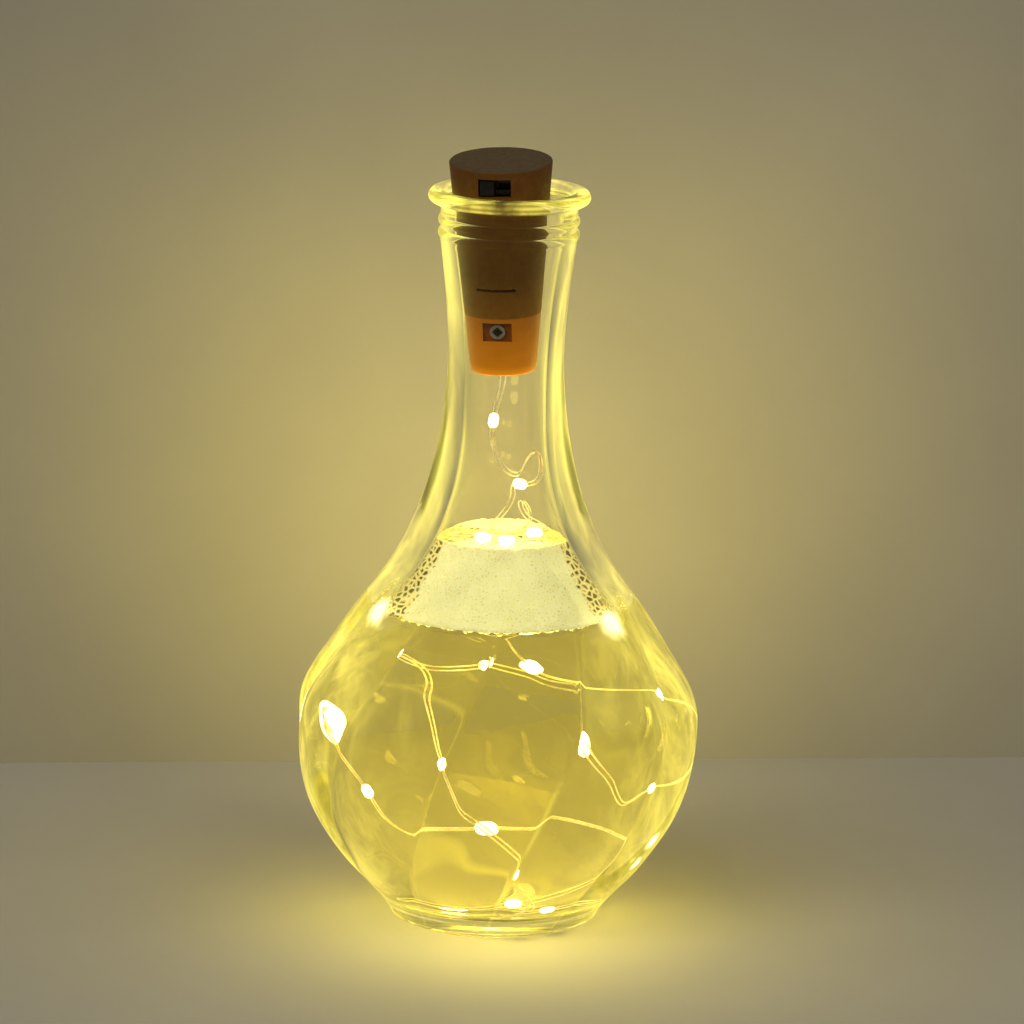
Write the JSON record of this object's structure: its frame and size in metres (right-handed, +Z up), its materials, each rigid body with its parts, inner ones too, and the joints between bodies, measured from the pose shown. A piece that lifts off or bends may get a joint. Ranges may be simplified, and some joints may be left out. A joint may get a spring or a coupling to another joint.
{
  "type": "cork bottle light",
  "caption": "Battery light shaped like a tapered cork, with a slide switch and a thin string of small lights, standing in the neck of a round swirled glass bottle.",
  "frame": {"origin": "centre of the bottle's foot, on the surface it stands on", "axes": "+Z up along the bottle, -Y towards the front with the switch and the square recess"},
  "size_m": [0.0894, 0.091, 0.1739],
  "materials": {
    "bottle_glass": "clear polished glass",
    "copper_strand": "enamelled copper wire",
    "led_chip": "warm white light chip",
    "bead_resin": "clear resin drop",
    "plug_plastic": "translucent amber plastic",
    "shell_plastic": "cork brown moulded plastic",
    "tray_plastic": "natural plastic",
    "cell_steel": "nickel plated steel",
    "gasket_rubber": "soft sealing ring",
    "contact_metal": "plated spring metal",
    "resistor_body": "lacquered body",
    "board_plastic": "green circuit board",
    "switch_plastic": "black moulded plastic",
    "solder": "bright solder",
    "screw_steel": "small steel screw"
  },
  "bodies": {
    "bottle": {"glass_belly": "bottle_glass", "glass_neck": "bottle_glass", "strand_a_lower": "copper_strand", "strand_b_lower": "copper_strand", "led_chips_lower": "led_chip", "led_beads_lower": "bead_resin", "strand_a_middle": "copper_strand", "strand_b_middle": "copper_strand"},
    "carrier": {"carrier_plug": "plug_plastic", "cell_tray": "tray_plastic", "button_cell_1": "cell_steel", "button_cell_2": "cell_steel", "button_cell_3": "cell_steel", "cell_gaskets": "gasket_rubber", "cell_caps": "cell_steel", "negative_contact": "contact_metal", "return_strip": "contact_metal", "contact_leads": "copper_strand", "series_resistor": "resistor_body", "wire_seal": "gasket_rubber", "strand_a_upper": "copper_strand", "strand_b_upper": "copper_strand", "led_chips_upper": "led_chip", "led_beads_upper": "bead_resin"},
    "shell": {"cork_shell": "shell_plastic", "switch_board": "board_plastic", "switch_frame": "contact_metal", "switch_base": "switch_plastic", "switch_terminals": "contact_metal", "solder_joints": "solder", "positive_contact": "contact_metal", "return_blade": "contact_metal"},
    "slider": {"switch_slider": "switch_plastic", "slider_contact": "contact_metal"},
    "screw": {"clamp_screw": "screw_steel"}
  },
  "joints": [
    {"name": "cork_lift", "type": "slide", "parent": "bottle", "child": "carrier", "axis": [-0.033, -0.0802, 0.9962], "range_m": [0, 0.05], "deforming": ["strand_a_middle", "strand_b_middle"]},
    {"name": "shell_lift", "type": "slide", "parent": "carrier", "child": "shell", "axis": [-0.033, -0.0802, 0.9962], "range_m": [0, 0.028]},
    {"name": "switch_slide", "type": "slide", "parent": "shell", "child": "slider", "axis": [0.991, -0.1323, 0.0222], "range_m": [0, 0.0034]},
    {"name": "screw_turn", "type": "hinge", "parent": "shell", "child": "screw", "pos_m": [-0.00181, -0.00655, 0.13537], "axis": [0.1301, 0.988, 0.0838], "continuous": true}
  ]
}
